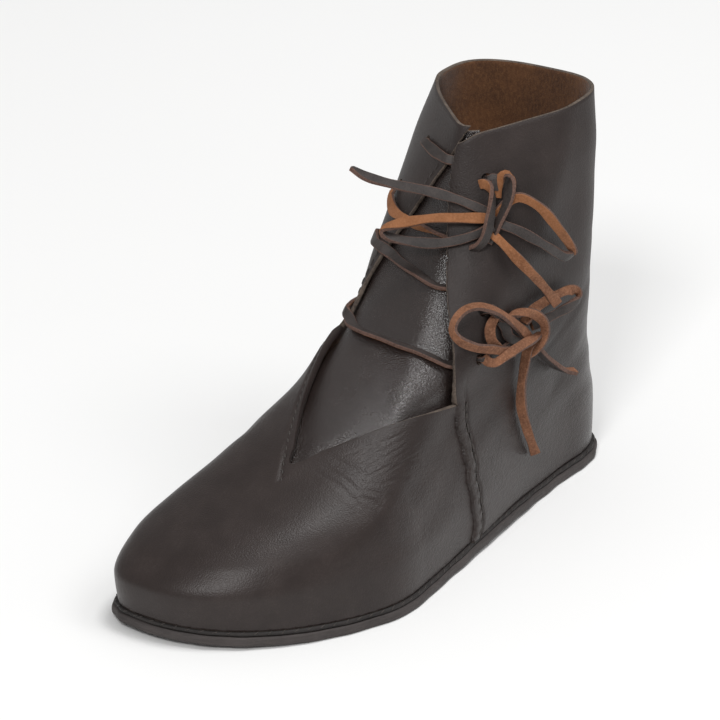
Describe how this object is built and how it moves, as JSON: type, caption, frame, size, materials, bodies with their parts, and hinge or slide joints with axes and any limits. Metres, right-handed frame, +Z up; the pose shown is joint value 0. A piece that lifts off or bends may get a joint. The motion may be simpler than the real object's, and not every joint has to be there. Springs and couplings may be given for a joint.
{
  "type": "lace-up ankle boot",
  "caption": "Left flat-soled leather ankle boot with a pointed throat panel, a side flap over the instep and leather thongs tied in bows at the outer side.",
  "frame": {"origin": "centre of the boot's bounding box on the floor, under the sole, without the free thong ends", "axes": "+Z up, toe towards -Y, heel towards +Y, +X the outer (lateral) side of this left boot"},
  "size_m": [0.113, 0.284, 0.1826],
  "materials": {
    "sole_leather": "matte",
    "rand_leather": "matte",
    "insole_leather": "matte",
    "upper_leather": "satin",
    "panel_leather": "satin",
    "thong_leather": "matte",
    "thong_flesh": "matte",
    "knot_leather": "matte"
  },
  "bodies": {
    "root": {"outsole": "sole_leather", "rand": "rand_leather", "insole": "insole_leather", "upper": "upper_leather", "instep_panel": "panel_leather", "lace_lower": "thong_leather", "lace_upper": "thong_leather", "upper_loop_front": "thong_flesh", "upper_loop_back": "thong_flesh", "upper_end_front": "thong_flesh", "upper_end_back": "thong_flesh", "lower_loop_front": "thong_flesh", "lower_loop_back": "thong_flesh", "lower_end_down": "thong_flesh", "lower_end_back": "thong_flesh", "upper_knot": "knot_leather", "lower_knot": "knot_leather"}
  },
  "joints": []
}
